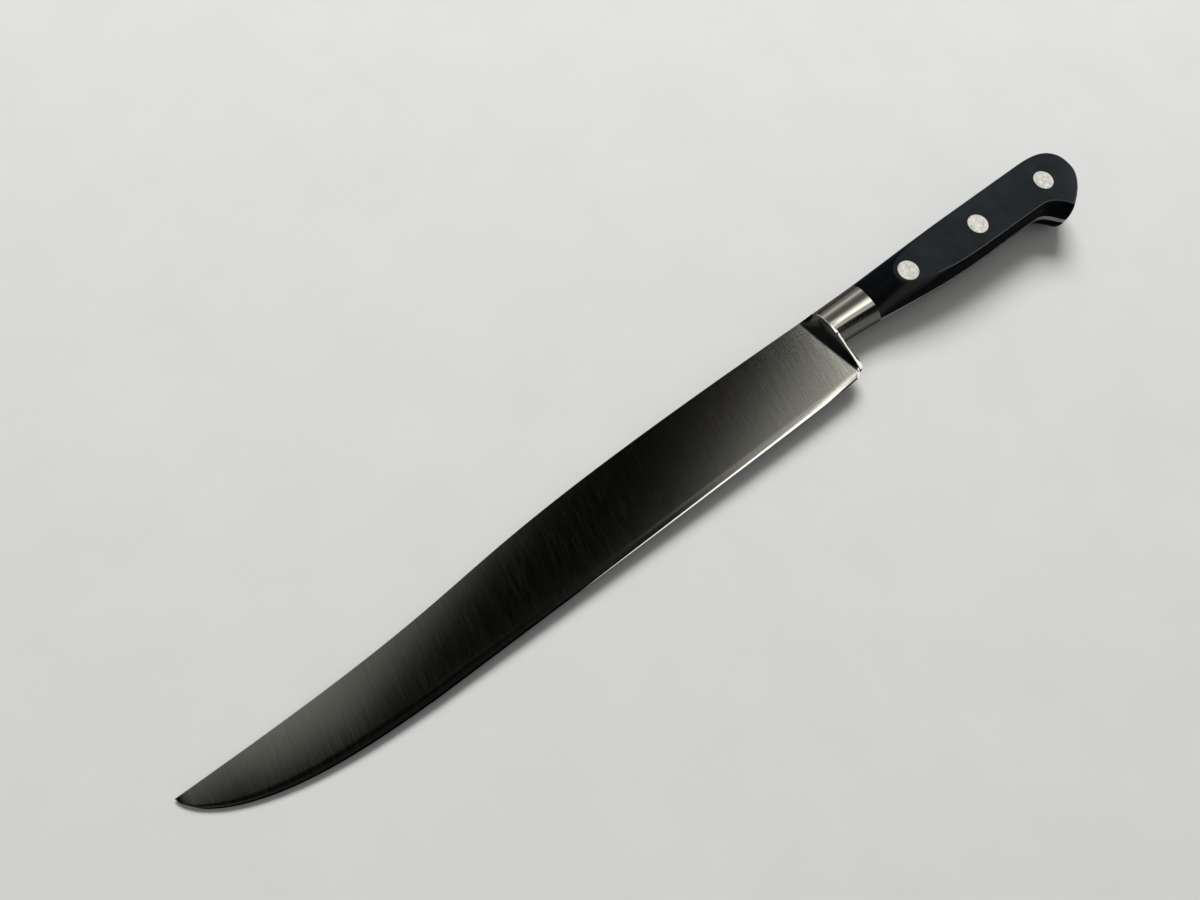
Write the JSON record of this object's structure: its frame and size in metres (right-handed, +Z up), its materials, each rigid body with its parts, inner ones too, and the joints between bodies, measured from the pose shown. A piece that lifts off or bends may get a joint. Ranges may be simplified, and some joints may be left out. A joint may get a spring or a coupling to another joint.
{
  "type": "carving knife",
  "caption": "Long upswept carving knife with a forged collar, a full tang and two dark riveted scales that end in a beak.",
  "frame": {"origin": "under the middle of the knife's box, on the surface it lies on; the knife lies on its right side with its middle plane level, 7.5 mm up", "axes": "+X from the tip towards the butt, +Y from the edge towards the spine, +Z up through the left side"},
  "size_m": [0.3754, 0.0379, 0.015],
  "materials": {
    "blade_steel": "satin ground, bright polished neck and edge",
    "scale_black": "satin black moulded plastic, polished at the front",
    "rivet_silver": "ground flush, finely scratched"
  },
  "bodies": {
    "root": {"forged_blade": "blade_steel", "left_scale": "scale_black", "right_scale": "scale_black", "front_rivet_post": "rivet_silver", "front_rivet_sleeve": "rivet_silver", "middle_rivet_post": "rivet_silver", "middle_rivet_sleeve": "rivet_silver", "rear_rivet_post": "rivet_silver", "rear_rivet_sleeve": "rivet_silver"}
  },
  "joints": []
}
